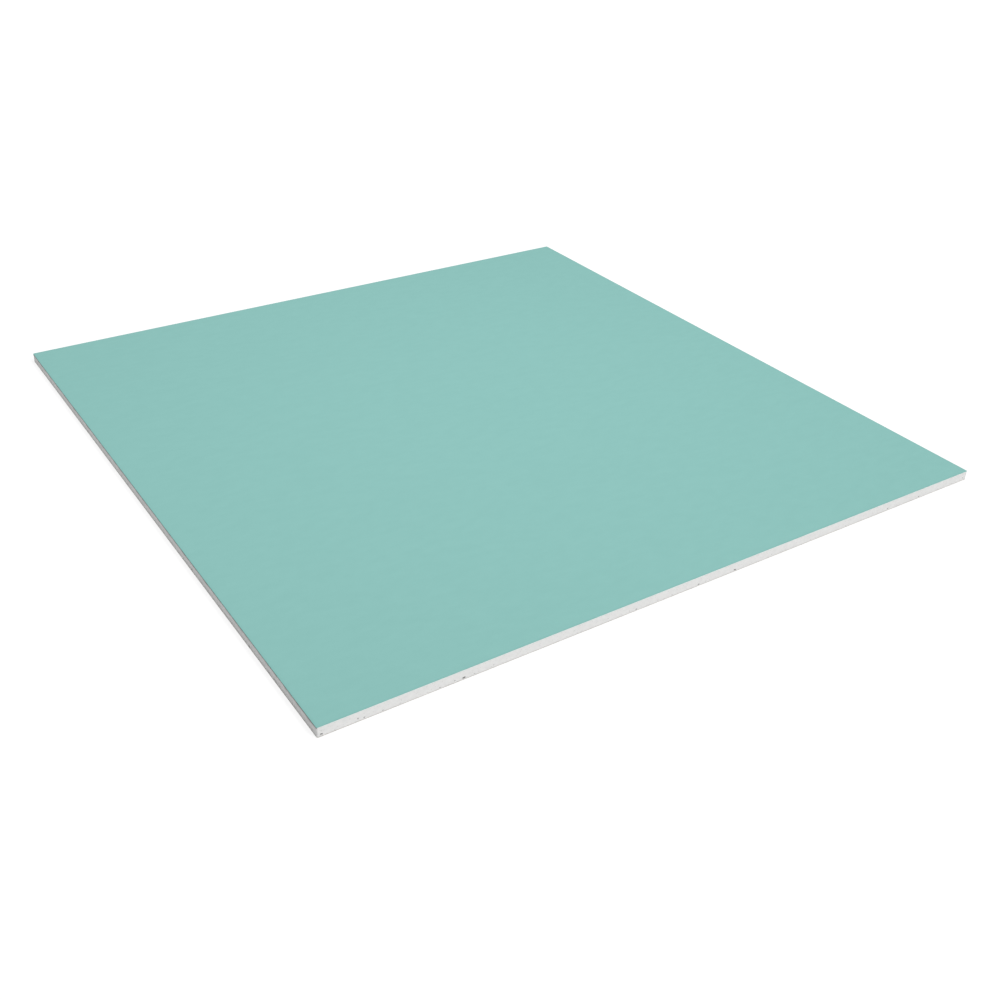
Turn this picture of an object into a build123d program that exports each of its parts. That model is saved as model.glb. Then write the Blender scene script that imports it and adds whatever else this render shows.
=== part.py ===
from build123d import *
import math
import os
import random

# A square gypsum ceiling tile, lying on its back with its face up.
# Millimetres. The origin is the middle of the back, +Z points out of the face,
# -Y is the front side and -X the left side.

# Driving dimensions
side = 595.0            # for a 600 mm ceiling grid
thickness = 8.0         # over everything
liner = 0.4             # each paper liner
corner_radius = 1.0     # the four upright corners, rubbed round in handling
arris_radius = 0.15     # the liners' outer edges, pressed down by the saw

# Air voids of the foamed core, laid open by the saw
void_slenderness = 1.9      # length over height, since the core is rolled flat as it sets
void_inside = 0.15          # how far the middle lies behind the sawn side, of the void's depth
void_unevenness = 0.16      # how far the wall comes in from a smooth round, of its size
void_points = 16            # corners of a void's uneven wall
void_clearance = 0.15       # gypsum left between a void and the back liner
void_band = (0.9, 2.3)      # height above the back: they gather low, near the back liner
small_void_length = (0.8, 1.3)
large_void_length = (1.5, 2.4)
small_voids = 18            # on each side
large_voids = 6             # on each side but the front, where they are listed
void_gap = 4.0              # least distance between the middles of two voids
spread_seed = 7

# The larger voids of the front side, placed by eye: distance from the near corner,
# height above the back, and length
front_voids = [
    (3, 1.8, 2.4),
    (32, 1.5, 1.7),
    (45, 1.1, 1.5),
    (86, 1.1, 1.5),
    (97, 1.9, 1.7),
    (104, 1.4, 3.0),
    (220, 2.9, 1.3),
    (245, 1.1, 1.8),
    (302, 1.3, 1.9),
    (337, 1.4, 2.7),
    (500, 1.6, 1.8),
    (537, 1.3, 2.0),
]

half = side / 2
core_bottom = liner
core_top = thickness - liner


def layer(bottom, top):
    """One layer of the board: the sawn square with its corners rubbed round."""
    outline = RectangleRounded(side, side, corner_radius)
    return Pos(0, 0, bottom) * extrude(outline, top - bottom)


def void(along, height, length, spread):
    """A bubble with an uneven wall, longer than it is high, that the front side cuts through."""
    half_height = length / void_slenderness / 2
    height = max(height, core_bottom + void_clearance + half_height)
    golden_angle = math.pi * (3 - math.sqrt(5))
    wall = []
    for corner in range(void_points):
        up = 1 - (2 * corner + 1) / void_points
        ring = math.sqrt(1 - up * up)
        turn = golden_angle * corner
        size = spread.uniform(1 - void_unevenness, 1)
        x = along + size * length / 2 * ring * math.cos(turn)
        y = half_height * (void_inside + size * ring * math.sin(turn)) - half
        z = height + size * half_height * up
        wall.append((x, y, z))
    return ConvexPolyhedron(wall)


def scattered_voids(taken, spread):
    """The places of the remaining voids of one side, clear of each other and of those taken."""
    places = list(taken)
    lengths = [small_void_length] * small_voids
    if not taken:
        lengths += [large_void_length] * large_voids
    while lengths:
        along = spread.uniform(void_gap, side - void_gap)
        if all(abs(along - other) >= void_gap for other, _, _ in places):
            height = spread.triangular(void_band[0], void_band[1], void_band[0])
            places.append((along, height, spread.uniform(*lengths.pop())))
    return places


def gypsum_core():
    """The foamed gypsum plate between the liners, bare on its four sawn sides."""
    spread = random.Random(spread_seed)
    cuts = []
    for turn, taken in ((0, front_voids), (90, []), (180, []), (270, [])):
        for along, height, length in scattered_voids(taken, spread):
            cuts.append(Rot(0, 0, turn) * void(along - half, height, length, spread))
    return layer(core_bottom, core_top) - cuts


def face_paper():
    """The coloured liner of the face, its upper edge pressed a little round."""
    sheet = layer(core_top, thickness)
    return fillet(sheet.faces().sort_by(Axis.Z)[-1].edges(), arris_radius)


def back_paper():
    """The plain liner of the back, its lower edge pressed a little round."""
    sheet = layer(0, core_bottom)
    return fillet(sheet.faces().sort_by(Axis.Z)[0].edges(), arris_radius)


os.makedirs("parts", exist_ok=True)
for make_piece in (gypsum_core, face_paper, back_paper):
    piece = make_piece()
    export_step(piece, f"parts/{make_piece.__name__}.step")
    print(f"{make_piece.__name__}: {piece.volume / 1000:.1f} cm3")
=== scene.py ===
# %% [markdown]
# This lesson makes a gypsum ceiling tile: a square plate of foamed gypsum between two sheets of
# paper, sawn from a larger board. It lies on its back, with its mint-coloured face up and its sawn
# sides bare. Everything here is in metres, in the frame that the solid model gives, so each piece
# is made where it belongs and nothing is fitted afterwards.

# %% Load the solid model
import math
import random
from collections import namedtuple
import bmesh
import bpy
from mathutils import Matrix, Vector, noise


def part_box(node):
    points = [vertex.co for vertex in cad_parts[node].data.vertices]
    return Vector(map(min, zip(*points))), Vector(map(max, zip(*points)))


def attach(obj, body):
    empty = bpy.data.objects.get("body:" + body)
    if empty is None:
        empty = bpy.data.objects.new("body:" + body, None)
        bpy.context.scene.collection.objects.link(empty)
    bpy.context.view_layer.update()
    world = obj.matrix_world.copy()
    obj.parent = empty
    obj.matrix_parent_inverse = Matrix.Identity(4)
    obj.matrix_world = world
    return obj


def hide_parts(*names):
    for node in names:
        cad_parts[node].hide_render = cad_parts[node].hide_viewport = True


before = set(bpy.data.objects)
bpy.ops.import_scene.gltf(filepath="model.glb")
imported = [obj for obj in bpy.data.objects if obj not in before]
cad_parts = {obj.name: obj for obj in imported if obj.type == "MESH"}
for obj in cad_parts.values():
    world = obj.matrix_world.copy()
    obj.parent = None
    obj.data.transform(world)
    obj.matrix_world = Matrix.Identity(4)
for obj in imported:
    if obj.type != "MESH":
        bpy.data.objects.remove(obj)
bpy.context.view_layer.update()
mm = 0.001
level = 0.001 * mm  # heights that differ by less are the same
core_low, core_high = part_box("gypsum_core")
face_low, face_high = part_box("face_paper")
back_low, back_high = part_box("back_paper")
half = core_high.x
print("tile:", round(2 * half / mm, 1), "mm square,", round(face_high.z / mm, 1), "mm thick")

# %% [markdown]
# The camera comes first. The four
# corners of the face fit only one view of a square of this size. The camera stands front left, a
# little over a metre away, and looks down by about a third of a right angle. It could be aimed by a
# constraint, but the corners give its whole turn, so that is set directly, from the directions of
# its right and its top.

# %% Stand the camera
camera_place = Vector((-519.6, -791.1, 498.0)) * mm  # from the middle of the face
camera_right = Vector((0.84160, -0.53946, 0.02634))
camera_top = Vector((0.26794, 0.45936, 0.84687))
focal_length = 43.498  # in millimetres, as Blender wants it
sideways_shift = 0.0277  # of the picture's width


def new_object(name, data):
    """An object with the given mesh, lamp or camera, in the scene."""
    thing = bpy.data.objects.new(name, data)
    bpy.context.scene.collection.objects.link(thing)
    return thing


camera = new_object("camera", bpy.data.cameras.new("camera"))
camera.data.lens = focal_length
camera.data.shift_x = sideways_shift
camera_back = camera_right.cross(camera_top)
turn = Matrix((camera_right, camera_top, camera_back)).transposed()
face_middle = Vector((0, 0, face_high.z))
camera.matrix_world = Matrix.Translation(face_middle + camera_place) @ turn.to_4x4()
bpy.context.scene.camera = camera
print("camera looks down", round(math.degrees(math.asin(camera_back.z)), 1), "degrees")

# %% [markdown]
# One saw cut went through core and papers, so all three have the same outline: a square with its
# corners rubbed round. The points could be worked out one by one, but three operators do it: a
# single square face is made, its four corners are bevelled as vertices, and it is extruded into a
# plate. Before that its long edges are cut into short steps, and afterwards the upright ones into
# rows, which gives the sides enough points for the roughness of a sawn edge. The large flat faces
# stay whole, because they are smooth.

# %% Make a plate with finely divided sides
corner_radius = 1.0 * mm
corner_segments = 4


def at_height(vertex, height):
    """True if a vertex lies at the given height."""
    return abs(vertex.co.z - height) < level


def upright_edges(plate):
    """The edges that go up the sides of a plate."""
    return [edge for edge in plate.edges if edge.verts[0].co.z != edge.verts[1].co.z]


def sawn_plate(bottom, top, step, rows, rim_cuts=0):
    """A closed plate, its sides in steps and rows; rim cuts divide the first and last row again."""
    plate = bmesh.new()
    bmesh.ops.create_grid(plate, x_segments=1, y_segments=1, size=half)
    bmesh.ops.bevel(
        plate, geom=plate.verts[:], offset=corner_radius, segments=corner_segments,
        profile=0.5, affect="VERTICES", material=-1,
    )
    bmesh.ops.translate(plate, verts=plate.verts[:], vec=(0, 0, bottom))
    long_edges = [edge for edge in plate.edges if edge.calc_length() > 2 * corner_radius]
    bmesh.ops.subdivide_edges(plate, edges=long_edges, cuts=round(2 * half / step))
    grown = bmesh.ops.extrude_face_region(plate, geom=plate.faces[:])["geom"]
    lifted = [part for part in grown if isinstance(part, bmesh.types.BMVert)]
    bmesh.ops.translate(plate, verts=lifted, vec=(0, 0, top - bottom))
    bmesh.ops.subdivide_edges(plate, edges=upright_edges(plate), cuts=rows - 1, use_grid_fill=True)
    if rim_cuts:
        rims = [
            edge for edge in upright_edges(plate)
            if any(at_height(vertex, bottom) or at_height(vertex, top) for vertex in edge.verts)
        ]
        bmesh.ops.subdivide_edges(plate, edges=rims, cuts=rim_cuts, use_grid_fill=True)
    return plate


straight = half - corner_radius  # from the middle of a side to where its corner begins
print("straight stretch of each side:", round(2 * straight / mm, 1), "mm")

# %% [markdown]
# The relief of the sides is worked out for each point, so two questions come up often: which way is
# out, and which of the four sides is this? At a rounded corner, out is away from the middle of the
# rounding. A turn that brings any side to the front lets one recipe serve all four.

# %% Find the way round the tile
sides = (0, 90, 180, 270)  # degrees round from the front: front, right, back and left


def outward(place):
    """The way out of the tile, square to its side, and fanning round its corners."""
    nearest = Vector([max(-straight, min(straight, value)) for value in place.xy])
    return (place.xy - nearest).normalized().to_3d()


def facing(place):
    """The side that a point belongs to."""
    way = outward(place)
    return round(math.degrees(math.atan2(way.y, way.x)) / 90 + 1) % 4 * 90


def side_turn(side):
    """Turns the given side to the front."""
    return Matrix.Rotation(math.radians(-side), 3, "Z")


print("a point of the right side belongs to side", facing(Vector((half, 0, 0))))

# %% [markdown]
# The gypsum is foamed, and the saw opens some of its bubbles. The larger ones are cut into the
# solid model, low on each side near the back paper. Their places could be listed again here, but
# then two lists would have to agree. Instead they are read from the solid's corners: one that lies
# between the core's top and bottom can only belong to a void, and corners that follow each other
# closely along a side belong to the same one.

# %% Find the voids of the solid core
edge_margin = 0.05 * mm  # leaves out the corners of the core's own top and bottom
deepest_void = 3 * mm  # corners further in belong to another side
void_gap = 1.3 * mm  # a wider gap along the side parts two voids
Hollow = namedtuple("Hollow", "along height half_length half_height depth")


def grouped(places):
    """The places in order along the side, in groups with a gap between them."""
    groups = []
    for place in sorted(places, key=lambda place: place.x):
        if not groups or place.x - groups[-1][-1].x > void_gap:
            groups.append([])
        groups[-1].append(place)
    return groups


def voids_of_side(side):
    """The voids that the solid core has on one side."""
    corners = []
    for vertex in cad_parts["gypsum_core"].data.vertices:
        place = side_turn(side) @ vertex.co
        between = core_low.z + edge_margin < place.z < core_high.z - edge_margin
        if between and place.y < -half + deepest_void and abs(place.x) < straight:
            corners.append(place)
    voids = []
    for group in grouped(corners):
        low = Vector(map(min, *group))
        high = Vector(map(max, *group))
        middle = (low + high) / 2
        reach = (high - low) / 2
        voids.append(Hollow(middle.x, middle.z, reach.x, reach.z, high.y + half))
    return voids


voids = {side: voids_of_side(side) for side in sides}
print("voids on each side:", [len(voids[side]) for side in sides])

# %% [markdown]
# Between the larger voids the saw has opened smaller ones, too fine for the solid model. Nobody
# would miss the exact place of one, so they are scattered by chance, from a fixed seed that gives
# the same tile each time. A pit is only kept where it is clear of all the hollows so far.

# %% Scatter small pits between the voids
pits_per_side = 16
pit_reach = (0.28 * mm, 0.5 * mm)  # half of its height
pit_length = 1.3  # times its height
pit_depth = 0.9  # times its reach
pit_band = (0.85 * mm, 2.8 * mm)  # they gather at the lower height
pit_clearance = 2  # times its reach
corner_margin = 3 * mm
pit_seed = 11
pit_spread = random.Random(pit_seed)


def with_pits(found):
    """The voids of a side and small pits, kept clear of them and of each other."""
    kept = list(found)
    while len(kept) < len(found) + pits_per_side:
        along = pit_spread.uniform(-half + corner_margin, half - corner_margin)
        height = pit_spread.triangular(pit_band[0], pit_band[1], pit_band[0])
        reach = pit_spread.uniform(*pit_reach)
        room = pit_clearance * reach
        if all(abs(along - other.along) > other.half_length + room for other in kept):
            kept.append(Hollow(along, height, pit_length * reach, reach, pit_depth * reach))
    return kept


hollows = {side: with_pits(voids[side]) for side in sides}
print("hollows in all:", sum(len(hollows[side]) for side in sides))

# %% [markdown]
# The core's sides start as squares of about two thirds of a millimetre, too coarse for the rim of a
# pit. Dividing all of them again would take the core to about a million triangles, so only those in
# a hollow or close round one are divided, each into nine. To find the hollows beside a point
# quickly, they are listed by the stretch of the side that they are in.

# %% Cut the core finer round each hollow
core_step = 0.7 * mm
core_rows = 12
core_rim_cuts = 2
finer_cuts = 2
finer_margin = 0.35 * mm
search_stretch = 10 * mm


def near_hollow(place, hollow):
    """True if a point of the turned side lies in a hollow or close round it."""
    across = (place.x - hollow.along) / (hollow.half_length + finer_margin)
    up = (place.z - hollow.height) / (hollow.half_height + finer_margin)
    return across * across + up * up < 1


def listed_by_stretch(side):
    """The numbered hollows of a side, in a list for each stretch that they are in or beside."""
    listed = {}
    for number, hollow in enumerate(hollows[side]):
        for neighbour in (-1, 0, 1):
            here = round(hollow.along / search_stretch) + neighbour
            listed.setdefault(here, []).append((number, hollow))
    return listed


hollow_lists = {side: listed_by_stretch(side) for side in sides}


def hollows_at(side, turned):
    """The numbered hollows that a point of the turned side lies in or close to."""
    beside = hollow_lists[side].get(round(turned.x / search_stretch), [])
    return [(number, hollow) for number, hollow in beside if near_hollow(turned, hollow)]


def lies_at_hollow(square):
    """True if the middle of a square of the sides lies in a hollow or close round one."""
    middle = square.calc_center_median()
    side = facing(middle)
    return bool(hollows_at(side, side_turn(side) @ middle))


core = sawn_plate(core_low.z, core_high.z, core_step, core_rows, core_rim_cuts)
chosen = {face for face in core.faces if len(face.verts) == 4 and lies_at_hollow(face)}
finer = [edge for edge in core.edges if any(face in chosen for face in edge.link_faces)]
bmesh.ops.subdivide_edges(core, edges=finer, cuts=finer_cuts, use_grid_fill=True)
print("core:", len(chosen), "squares divided again, which makes", len(core.faces), "faces")

# %% [markdown]
# Dry gypsum crumbles a little under the saw. The side is grainy, with faint marks of the saw. It
# stands back a hair behind the papers, and most where it meets them. A Displace modifier could
# roughen it, but wouldn't know how near the paper a point is. So a function says how deep the relief
# is at any place, from noise, a wave and the distance to the nearer paper.

# %% Say how deep the sawn relief is
core_setback = 0.05 * mm
grain_size = 1.1 * mm
grain_depth = 0.035 * mm
fine_grain_size = 0.45 * mm
fine_grain_depth = 0.02 * mm
saw_pitch = 3.4 * mm
saw_slant = 0.6  # how far a saw mark leans along the side for each millimetre up
saw_depth = 0.012 * mm
crumble_size = 1.7 * mm
crumble_start = 0.45  # of the noise: above it the gypsum beside the paper has crumbled
crumble_reach = 0.45 * mm
crumble_depth = 0.16 * mm


def grain(place, size):
    """Smooth noise from 0 to 1 with features of the given size."""
    return 0.5 + 0.5 * noise.noise(place / size)


def sawn_relief(place):
    """How far a point of the core's side stands back, apart from the hollows."""
    depth = core_setback + grain_depth * grain(place, grain_size)
    depth += fine_grain_depth * grain(place, fine_grain_size)
    along = place.x + place.y + saw_slant * place.z
    depth += saw_depth * (1 + math.sin(2 * math.pi * along / saw_pitch))
    to_paper = min(place.z - core_low.z, core_high.z - place.z)
    crumbled = max(0.0, grain(place, crumble_size) - crumble_start) / (1 - crumble_start)
    return depth + crumble_depth * crumbled * math.exp(-((to_paper / crumble_reach) ** 2))


front_middle = Vector((0, -half, (core_low.z + core_high.z) / 2))
print("relief in the middle of the front:", round(sawn_relief(front_middle) / mm, 3), "mm")

# %% [markdown]
# The left and right sides are the ends, sawn across the board. There the gypsum has come away a
# little more under the face paper, and a painted shade, with some dust and fibres, darkens that line.
# A stripe of one width would look painted on, so a fine noise varies its strength and a broad one
# its height. One number from 0 to 1 serves for both the relief and the painted shade, so that the two
# agree.

# %% Say how the ends are frayed
ends = (90, 270)  # the right and left sides
fray_size = 2.3 * mm
fray_strength = (0.37, 0.83)
fray_wander = 7 * mm
fray_reach = (0.75 * mm, 1.45 * mm)  # below the face paper
fray_depth = 0.08 * mm


def ragged(place, size, low, high):
    """A value that wanders smoothly between low and high over the given size."""
    return low + (high - low) * max(0.0, min(1.0, 2 * grain(place, size) - 0.5))


def fray(place):
    """How much, from 0 to 1, the gypsum of an end has come away below the face paper and is painted
    dark as shade.
    """
    strength = ragged(place, fray_size, *fray_strength)
    below_face = (core_high.z - place.z) / ragged(place, fray_wander, *fray_reach)
    return strength * math.exp(-(below_face * below_face))


end_spots = [Vector((half, along * half, core_high.z)) for along in (-0.5, 0, 0.5)]
print("fray at three spots of the right side:", [round(fray(spot), 2) for spot in end_spots])

# %% [markdown]
# An opened bubble is a rounded bowl with an uneven rim. It could be cut out with a Boolean modifier,
# but that leaves long thin triangles round it. Here the finely divided side is pressed in instead,
# as a rounded bowl inside the rim and a fading slope outside it. The floor of a bowl holds dust and
# gets little light, the more so the larger it is, so the function also gives a shade for its colour:
# painted shade, with some dust.

# %% Say how deep and how dark a hollow is
rim_width = 0.22  # of the hollow's size
rim_unevenness = 0.18  # of the hollow's size
rim_lobes = 1.4  # the higher, the more lobes the rim has
rim_depth = 0.05 * mm
rim_shade = 0.15  # of the hollow's shade
full_shade_reach = 0.85 * mm  # hollows of this half length or more get the full shade
noise_apart = 7.3  # takes the next hollow to a fresh stretch of the noise


def hollow_relief(place, hollow, number):
    """How far a hollow draws a point of its side in, and how much shade it gives it."""
    across = (place.x - hollow.along) / hollow.half_length
    up = (place.z - hollow.height) / hollow.half_height
    angle = math.atan2(up, across)
    on_rim = Vector((rim_lobes * math.cos(angle), rim_lobes * math.sin(angle), noise_apart * number))
    out = math.hypot(across, up) / (1 + rim_unevenness * noise.noise(on_rim))
    # painted shade, with some dust: the larger the hollow, the darker its floor is painted
    darkness = min(1.0, (hollow.half_length / full_shade_reach) ** 2)
    if out < 1:
        bowl = math.sqrt(1 - out * out)
        return rim_depth + hollow.depth * bowl, darkness * (rim_shade + (1 - rim_shade) * bowl)
    fade = math.exp(-(((out - 1) / rim_width) ** 2))
    return rim_depth * fade, darkness * rim_shade * fade


fully_shaded = [hollow for hollow in hollows[0] if hollow.half_length >= full_shade_reach]
print("hollows of the front side in full shade:", len(fully_shaded))

# %% [markdown]
# Now each point of the sides is moved once, by all the reliefs together, straight in from its side.
# Pushing only inwards keeps the tile inside its true size. The points beside the papers are left out
# of the hollows, so none opens into the joint. The shade, a painted shade with some dust, is stored in
# the mesh as an attribute, which the material reads: a colour that follows the shape in this way
# moves with it, whatever the view.

# %% Push the sides in and note the shade
# the painted shade, with some dust, that the gypsum's colour reads
shade = core.verts.layers.float.new("shade")
for vertex in core.verts:
    place = vertex.co.copy()
    side = facing(place)
    turned = side_turn(side) @ place
    depth = sawn_relief(place)
    if side in ends:
        # the fray also gives the painted shade of the ends
        frayed = fray(place)
        depth += fray_depth * frayed
        vertex[shade] = frayed
    if core_low.z + level < place.z < core_high.z - level:
        for number, hollow in hollows_at(side, turned):
            drawn_in, shaded = hollow_relief(turned, hollow, number)
            depth += drawn_in
            vertex[shade] = max(vertex[shade], shaded)
    vertex.co = place - outward(place) * depth
print("deepest shade:", round(max(vertex[shade] for vertex in core.verts), 2))

# %% [markdown]
# Each finished bmesh becomes an object whose place is in its mesh, while the object itself stays at
# the origin. That keeps patterns where they belong when the model is exported. The wide flat faces
# are shaded flat and the fine ones smooth. Then the piece is tied to the solid model: it rides on the
# body, and the node that it stands for is hidden.

# %% Turn a bmesh into a piece of the tile
fine_face_corners = 8  # at most; the wide flat faces have thousands


def finish_piece(shape, name, node):
    """Makes an object of a bmesh and ties it to the solid model."""
    bmesh.ops.recalc_face_normals(shape, faces=shape.faces[:])
    for face in shape.faces:
        face.smooth = len(face.verts) <= fine_face_corners
    mesh = bpy.data.meshes.new(name)
    shape.to_mesh(mesh)
    shape.free()
    piece = new_object(name, mesh)
    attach(piece, "root")
    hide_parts(node)
    print(name, "has", sum(len(face.vertices) - 2 for face in mesh.polygons), "triangles")
    return piece


gypsum = finish_piece(core, "sawn_gypsum", "gypsum_core")

# %% [markdown]
# The liners are about 0.4 mm of pressed paper. The saw leaves their edges slightly ragged and
# presses the outer one a little round. A flat plane would do from afar, but its edge would be a
# razor. So they are made from the same plate as the core: the edge of the outer face is bevelled,
# and the points round the outside are drawn in by a fine noise and a long, slow one.

# %% Make a liner with a soft, slightly ragged edge
paper_step = 0.6 * mm
paper_rows = 3
paper_arris = 0.14 * mm
paper_arris_segments = 3
tear_size = 0.9 * mm
tear_depth = 0.045 * mm
wander_size = 9 * mm
wander_depth = 0.03 * mm


def liner(bottom, top, outer):
    """A sheet of paper with the tile's outline; outer is the height of its outer face."""
    sheet = sawn_plate(bottom, top, paper_step, paper_rows)
    arris = [
        edge for edge in sheet.edges if all(at_height(vertex, outer) for vertex in edge.verts)
    ]
    bmesh.ops.bevel(
        sheet, geom=arris, offset=paper_arris, segments=paper_arris_segments,
        profile=0.5, affect="EDGES", material=-1,
    )
    for vertex in sheet.verts:
        torn = tear_depth * grain(vertex.co, tear_size)
        torn += wander_depth * grain(vertex.co, wander_size)
        vertex.co -= outward(vertex.co) * torn
    return sheet


face_sheet = finish_piece(
    liner(face_low.z, face_high.z, face_high.z), "mint_face_paper", "face_paper"
)
back_sheet = finish_piece(
    liner(back_low.z, back_high.z, back_low.z), "back_liner_paper", "back_paper"
)

# %% [markdown]
# A colour is easiest to choose as a screen shows it, but Blender mixes colours as amounts of light.
# The colour picker turns one into the other by itself, and a script has to do it too.

# %% Turn a screen's colour into light
def screen(red, green, blue):
    """A colour as a screen shows it, from 0 to 255, as linear red, green, blue and alpha."""
    levels = [value / 255 for value in (red, green, blue)]
    # The standard curve of screens: a short straight start, and then a power.
    linear = [v / 12.92 if v <= 0.04045 else ((v + 0.055) / 1.055) ** 2.4 for v in levels]
    return (*linear, 1)


print("half way up a screen's levels is", round(screen(127.5, 127.5, 127.5)[0], 3), "of the light")

# %% [markdown]
# All three finishes are matt. A picture of each could be wrapped round the tile, but it would blur
# close up, while a node pattern on Object coordinates has a true size and no seams. A small class
# adds a node and sets its inputs in one call, which keeps each recipe short.

# %% Make the tools for mixing a material
noise_middle = (0.3, 0.7)  # where most values of a noise lie
noise_breadth = (0.2, 0.8)  # where nearly all of them lie


class Recipe:
    """A material in the making: its nodes, its links and its one shader."""

    def __init__(self, name):
        self.material = bpy.data.materials.new(name)
        self.material.use_nodes = True
        self.nodes = self.material.node_tree.nodes
        self.links = self.material.node_tree.links
        self.shader = self.nodes["Principled BSDF"]
        self.place = self.nodes.new("ShaderNodeTexCoord").outputs["Object"]

    def join(self, value, socket):
        """Links a socket, or sets a plain value."""
        if isinstance(value, bpy.types.NodeSocket):
            self.links.new(value, socket)
        else:
            socket.default_value = value

    def noise(self, size, detail, stretch=(1, 1, 1)):
        """Noise with features of a true size, drawn out along an axis by its stretch."""
        mapping = self.nodes.new("ShaderNodeMapping")
        mapping.inputs["Scale"].default_value = [1 / (size * s) for s in stretch]
        self.links.new(self.place, mapping.inputs["Vector"])
        texture = self.nodes.new("ShaderNodeTexNoise")
        texture.inputs["Scale"].default_value = 1
        texture.inputs["Detail"].default_value = detail
        self.links.new(mapping.outputs["Vector"], texture.inputs["Vector"])
        return texture.outputs["Fac"]

    def spread(self, value, low, high, to_low=0.0, to_high=1.0):
        """Spreads the range low to high over to_low to to_high, and clamps it."""
        node = self.nodes.new("ShaderNodeMapRange")
        for number, amount in enumerate((value, low, high, to_low, to_high)):
            self.join(amount, node.inputs[number])
        return node.outputs["Result"]

    def reckon(self, operation, first, second=0.0):
        """One sum on one or two values."""
        node = self.nodes.new("ShaderNodeMath")
        node.operation = operation
        self.join(first, node.inputs[0])
        self.join(second, node.inputs[1])
        return node.outputs["Value"]

    def mix(self, amount, first, second):
        """Mixes two colours by an amount from 0 to 1."""
        node = self.nodes.new("ShaderNodeMix")
        node.data_type = "RGBA"
        self.join(amount, node.inputs["Factor"])
        colours = [socket for socket in node.inputs if socket.type == "RGBA"]
        self.join(first, colours[0])
        self.join(second, colours[1])
        return [socket for socket in node.outputs if socket.type == "RGBA"][0]

    def bump(self, height, depth, under=None):
        """Turns heights into a bump of a true depth, on top of another one."""
        node = self.nodes.new("ShaderNodeBump")
        node.inputs["Distance"].default_value = depth
        self.links.new(height, node.inputs["Height"])
        if under:
            self.links.new(under, node.inputs["Normal"])
        return node.outputs["Normal"]

    def finish(self, colour, roughness, normal, specular):
        """Puts the recipe into the shader."""
        self.join(colour, self.shader.inputs["Base Color"])
        self.join(roughness, self.shader.inputs["Roughness"])
        self.join(normal, self.shader.inputs["Normal"])
        self.shader.inputs["Specular IOR Level"].default_value = specular
        print(self.material.name, "is mixed from", len(self.nodes), "nodes")
        return self.material


# %% [markdown]
# The face is a smooth, dyed paper. From a step away it is one even colour. Close up it has a faint
# cloudiness from the fibres, slightly drawn out along the board, and the finest unevenness to the
# touch. Only the topmost ply is dyed, and the cut edge shows the plies below it. A second material
# for them would need faces that end exactly at the dye, so the height of the point decides instead.
# The plies are pale at the clean sides, and painted dark at the ends as shade.

# %% Mix the mint face paper
mint_deep = screen(142.5, 196.3, 190.2)
mint_light = screen(145, 198.8, 192.7)
mint_cloud_size = 6 * mm
mint_cloud_stretch = (2.2, 1, 1)
mint_fibre = screen(139.5, 193.3, 187.2)
mint_fibre_size = 0.5 * mm
mint_fibre_stretch = (5, 1, 1)
mint_fibre_strength = 0.3
mint_fibre_depth = 0.02 * mm
mint_pressed = screen(137, 191, 185)
pressed_from_rim = (1.8 * mm, 0.4 * mm)  # where the darker rim begins, and where it is full
pressed_strength = 0.7
side_plies = screen(236, 246, 243)
# painted shade: the plies at the ends are coloured dark to darken the line under the face paper
painted_shade_end_plies = screen(116, 132, 127)
end_from_rim = (0.6 * mm, 0.4 * mm)  # where the painted shade of the end plies begins, and where it is full
dyed_from_top = (0.1 * mm, 0.05 * mm)  # where the dye begins, and where it is full
mint_roughness = (0.86, 0.93)


def mint_paper():
    """The dyed face, a little darker round its pressed rim, and the undyed plies of its edge, painted
    dark as shade at the ends.
    """
    recipe = Recipe("mint face paper")
    cloud = recipe.noise(mint_cloud_size, detail=3, stretch=mint_cloud_stretch)
    fibre = recipe.noise(mint_fibre_size, detail=2, stretch=mint_fibre_stretch)
    tone = recipe.mix(recipe.spread(cloud, *noise_middle), mint_deep, mint_light)
    fibres = recipe.spread(fibre, *noise_middle, 0, mint_fibre_strength)
    tone = recipe.mix(fibres, tone, mint_fibre)
    split = recipe.nodes.new("ShaderNodeSeparateXYZ")
    recipe.links.new(recipe.place, split.inputs["Vector"])
    sideways = recipe.reckon("ABSOLUTE", split.outputs["X"])
    lengthways = recipe.reckon("ABSOLUTE", split.outputs["Y"])
    to_rim = recipe.reckon("MAXIMUM", sideways, lengthways)
    pressed_band = [half - inwards for inwards in pressed_from_rim]
    pressed = recipe.spread(to_rim, *pressed_band, 0, pressed_strength)
    tone = recipe.mix(pressed, tone, mint_pressed)
    # at the ends the plies take their painted shade
    at_end = recipe.spread(sideways, *[half - inwards for inwards in end_from_rim])
    plies = recipe.mix(at_end, side_plies, painted_shade_end_plies)
    dyed = recipe.spread(split.outputs["Z"], *[face_high.z - down for down in dyed_from_top])
    return recipe.finish(
        colour=recipe.mix(dyed, plies, tone),
        roughness=recipe.spread(fibre, *noise_breadth, *mint_roughness),
        normal=recipe.bump(fibre, mint_fibre_depth),
        specular=0.2,
    )


face_sheet.data.materials.append(mint_paper())

# %% [markdown]
# The core is an off-white, dull, slightly porous plaster. Fine pores, too small for the mesh, come
# from a Voronoi pattern: it scatters points through the gypsum, and each is the middle of a small
# bubble that the saw may have cut. A noise with a threshold is the usual way, but it gives ragged
# islands where a Voronoi pattern gives round bubbles. Its random colour gives each bubble a size of
# its own, and a third of them none. Each cut bubble is coloured darker, as painted shade. The shade
# stored in the mesh deepens the colour further, as painted shade with some dust.

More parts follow.
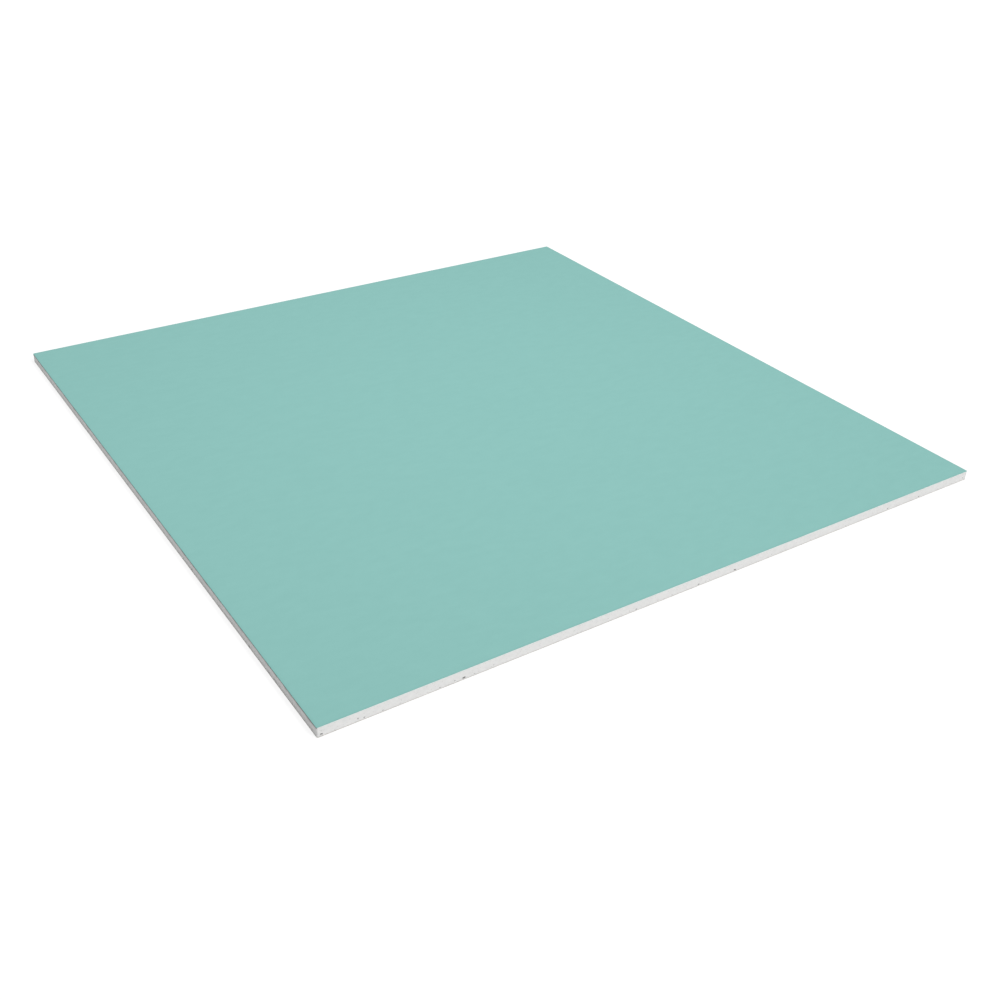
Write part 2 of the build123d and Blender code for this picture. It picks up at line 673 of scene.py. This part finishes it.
# %% Mix the sawn gypsum
gypsum_deep = screen(236, 236, 235)
gypsum_light = screen(242, 242, 241)
gypsum_cloud_size = 3.5 * mm
crumb_size = 0.35 * mm
crumb_depth = 0.05 * mm
bubble_spacing = 0.9 * mm
uncut_share = 0.35  # of the bubbles
bubble_reach = 0.34  # of the spacing, in the largest bubble
bubble_rim = 0.1  # of the spacing: how far in the painted shade of a pore takes to deepen
bubble_slope = 0.15  # of the spacing: how far in the wall takes to go down
# painted shade in the cut pores, which are too small for the mesh to shade
painted_pore_shade = screen(180, 178, 174)
bubble_strength = 0.5
bubble_depth = 0.1 * mm
# painted shade, with some dust, laid on where the mesh's shade attribute says
painted_shade_and_dust = screen(60, 57, 53)


def sawn_gypsum():
    """Dull white plaster with fine pores painted darker as shade, and painted shade with some dust
    where the mesh holds its shade.
    """
    recipe = Recipe("sawn gypsum")
    cloud = recipe.noise(gypsum_cloud_size, detail=3)
    tone = recipe.mix(recipe.spread(cloud, *noise_middle), gypsum_deep, gypsum_light)
    bubbles = recipe.nodes.new("ShaderNodeTexVoronoi")
    bubbles.inputs["Scale"].default_value = 1 / bubble_spacing
    recipe.links.new(recipe.place, bubbles.inputs["Vector"])
    chance = recipe.nodes.new("ShaderNodeSeparateColor")
    recipe.links.new(bubbles.outputs["Color"], chance.inputs["Color"])
    reach = recipe.spread(chance.outputs["Red"], uncut_share, 1, 0, bubble_reach)
    inside = recipe.reckon("SUBTRACT", reach, bubbles.outputs["Distance"])
    # painted shade: each cut pore is coloured darker inside its rim
    darker = recipe.spread(inside, 0, bubble_rim, 0, bubble_strength)
    tone = recipe.mix(darker, tone, painted_pore_shade)
    stored = recipe.nodes.new("ShaderNodeAttribute")
    stored.attribute_name = "shade"
    crumb = recipe.noise(crumb_size, detail=2)
    porous = recipe.bump(recipe.spread(inside, 0, bubble_slope, 1, 0), bubble_depth)
    return recipe.finish(
        colour=recipe.mix(stored.outputs["Fac"], tone, painted_shade_and_dust),
        roughness=0.95,
        normal=recipe.bump(crumb, crumb_depth, porous),
        specular=0.2,
    )


gypsum.data.materials.append(sawn_gypsum())

# %% [markdown]
# The back has a plain liner of recycled fibre, light grey-beige. It is less even than the face, with
# soft clouds and short darker and lighter flecks of fibre. Each fleck could be a tiny mesh, but a
# noise drawn out along one axis has long narrow peaks, and only the highest of them are coloured.
# The dark flecks lie along the board and the light ones across it.

# %% Mix the back paper
back_deep = screen(213, 209, 200)
back_light = screen(221, 217, 209)
back_cloud_size = 7 * mm
back_cloud_stretch = (2, 1, 1)
dark_fleck = screen(166, 160, 148)
dark_fleck_size = 0.45 * mm
dark_fleck_stretch = (4, 1, 1)
light_fleck = screen(226, 221, 210)
light_fleck_size = 0.4 * mm
light_fleck_stretch = (1, 3.5, 1)
fleck_start = (0.66, 0.76)  # of the noise: where a fleck begins, and where it is fully there
fleck_strength = 0.5
fleck_depth = 0.02 * mm
back_roughness = (0.88, 0.95)


def back_paper():
    """Light grey-beige recycled paper with soft clouds and crossed flecks of fibre."""
    recipe = Recipe("back paper")
    cloud = recipe.noise(back_cloud_size, detail=4, stretch=back_cloud_stretch)
    dark = recipe.noise(dark_fleck_size, detail=1, stretch=dark_fleck_stretch)
    light = recipe.noise(light_fleck_size, detail=1, stretch=light_fleck_stretch)
    tone = recipe.mix(recipe.spread(cloud, *noise_middle), back_deep, back_light)
    tone = recipe.mix(recipe.spread(dark, *fleck_start, 0, fleck_strength), tone, dark_fleck)
    tone = recipe.mix(recipe.spread(light, *fleck_start, 0, fleck_strength), tone, light_fleck)
    return recipe.finish(
        colour=tone,
        roughness=recipe.spread(cloud, *noise_breadth, *back_roughness),
        normal=recipe.bump(light, fleck_depth, recipe.bump(dark, fleck_depth)),
        specular=0.3,
    )


back_sheet.data.materials.append(back_paper())

# %% [markdown]
# The tile lies on a white floor, which bounces light up onto its sides. That matters most on the left
# side, which faces away from the main lamp. More light would make the floor white, but would wash
# out the tile. So the floor has two materials in one: for the light that it gives back it is plain pale
# paint, and seen by the camera it is nearly all glow, with enough paint in it to keep the shadow.
# The lamps light that paint less further out, so the glow grows with the distance from the tile.

# %% Mix the white floor
bounce = 0.85
shadow_paint = 0.21
glow_distance = (0.45, 1.2)  # from the middle of the tile
glow_strength = (0.85, 0.95)  # at those distances


def seen_directly(tree):
    """A value that is 1 where the camera, gloss or glass sees a thing, and otherwise 0."""
    path = tree.nodes.new("ShaderNodeLightPath")
    seen = path.outputs["Is Camera Ray"]
    for ray in ("Is Glossy Ray", "Is Transmission Ray"):
        either = tree.nodes.new("ShaderNodeMath")
        either.operation = "MAXIMUM"
        tree.links.new(seen, either.inputs[0])
        tree.links.new(path.outputs[ray], either.inputs[1])
        seen = either.outputs["Value"]
    return seen


def matt_paint(tree, grey):
    """A matt shader of the given grey."""
    shader = tree.nodes.new("ShaderNodeBsdfDiffuse")
    shader.inputs["Color"].default_value = (grey, grey, grey, 1)
    return shader.outputs["BSDF"]


def distance_glow(tree):
    """A white glow that grows with the distance from the middle of the tile."""
    place = tree.nodes.new("ShaderNodeTexCoord")
    away = tree.nodes.new("ShaderNodeVectorMath")
    away.operation = "LENGTH"
    tree.links.new(place.outputs["Object"], away.inputs[0])
    strength = tree.nodes.new("ShaderNodeMapRange")
    for number, amount in enumerate((*glow_distance, *glow_strength), 1):
        strength.inputs[number].default_value = amount
    tree.links.new(away.outputs["Value"], strength.inputs["Value"])
    glow = tree.nodes.new("ShaderNodeEmission")
    tree.links.new(strength.outputs["Result"], glow.inputs["Strength"])
    return glow.outputs["Emission"]


def white_floor():
    """White with a soft shadow where it is seen, and pale paint for the light that it bounces."""
    material = bpy.data.materials.new("white floor")
    material.use_nodes = True
    tree = material.node_tree
    tree.nodes.clear()
    both = tree.nodes.new("ShaderNodeAddShader")
    tree.links.new(distance_glow(tree), both.inputs[0])
    tree.links.new(matt_paint(tree, shadow_paint), both.inputs[1])
    choice = tree.nodes.new("ShaderNodeMixShader")
    tree.links.new(seen_directly(tree), choice.inputs["Fac"])
    tree.links.new(matt_paint(tree, bounce), choice.inputs[1])
    tree.links.new(both.outputs["Shader"], choice.inputs[2])
    output = tree.nodes.new("ShaderNodeOutputMaterial")
    tree.links.new(choice.outputs["Shader"], output.inputs["Surface"])
    print(material.name, "is mixed from", len(tree.nodes), "nodes")
    return material


white = white_floor()

# %% [markdown]
# The floor itself is one large square. It could lie exactly under the tile, but two faces at one
# height show through each other, so it lies a hair lower.

# %% Lay the floor
floor_size = 8.0
floor_drop = 0.02 * mm

floor_mesh = bpy.data.meshes.new("floor")
floor_shape = bmesh.new()
bmesh.ops.create_grid(floor_shape, x_segments=1, y_segments=1, size=floor_size / 2)
bmesh.ops.translate(floor_shape, verts=floor_shape.verts[:], vec=(0, 0, -floor_drop))
floor_shape.to_mesh(floor_mesh)
floor_shape.free()
floor = new_object("floor", floor_mesh)
floor_mesh.materials.append(white)
print("floor:", floor_size, "m square")

# %% [markdown]
# The light is that of a plain studio. A pale sky fills in from all round. It could give all the
# light by itself, but then no side of the tile would be in shade. So it gives a third of it, and is
# fully white only where it is seen.

# %% Set the sky
sky_light = 0.33
seen_sky = 1.0

world = bpy.data.worlds.new("white room")
bpy.context.scene.world = world
world.use_nodes = True
room = world.node_tree
strength = room.nodes.new("ShaderNodeMapRange")
strength.inputs["To Min"].default_value = sky_light
strength.inputs["To Max"].default_value = seen_sky
room.links.new(seen_directly(room), strength.inputs["Value"])
background = room.nodes["Background"]
background.inputs["Color"].default_value = (1, 1, 1, 1)
room.links.new(strength.outputs["Result"], background.inputs["Strength"])
print("the sky lights with", sky_light, "and is seen as", seen_sky)

# %% [markdown]
# The key lamp is the main one. It stands front right, so the front side is bright and the left one
# in shade. It is a sun lamp, because that is as strong at one end of the tile as at the other, which
# an area lamp is only from far off. The top lamp is a round area lamp, hung close enough to light the
# middle of the face a little more than its rim. Together with the sky they bring a level white sheet
# to about full white, so colours come out about as they are written.

# %% Hang the lamps
key_strength = 0.49
key_height = math.radians(46)  # above the floor
key_aside = math.radians(30)  # to the right of the front
key_softness = math.radians(18)
key_distance = 2.0
top_strength = 1.44
top_place = Vector((0.08, -0.06, 1.2))
top_size = 0.5


def hang(name, kind, place, strength):
    """A lamp at a place, turned to the middle of the tile's back."""
    lamp = new_object(name, bpy.data.lights.new(name, kind))
    lamp.data.energy = strength * math.pi
    lamp.location = place
    lamp.rotation_euler = place.to_track_quat("Z", "Y").to_euler()
    print(name, "lamp hangs", round(place.z, 2), "m up")
    return lamp


level_way = Vector((math.sin(key_aside), -math.cos(key_aside), 0))
key_way = level_way * math.cos(key_height) + Vector((0, 0, math.sin(key_height)))
key = hang("key", "SUN", key_way * key_distance, key_strength)
key.data.angle = key_softness
top = hang("top", "AREA", top_place, top_strength)
top.data.shape = "DISK"
top.data.size = top_size

# %% [markdown]
# Colours should look as they are written, so the view transform is the plain one.

# %% Set the plain view transform
bpy.context.scene.view_settings.view_transform = "Standard"
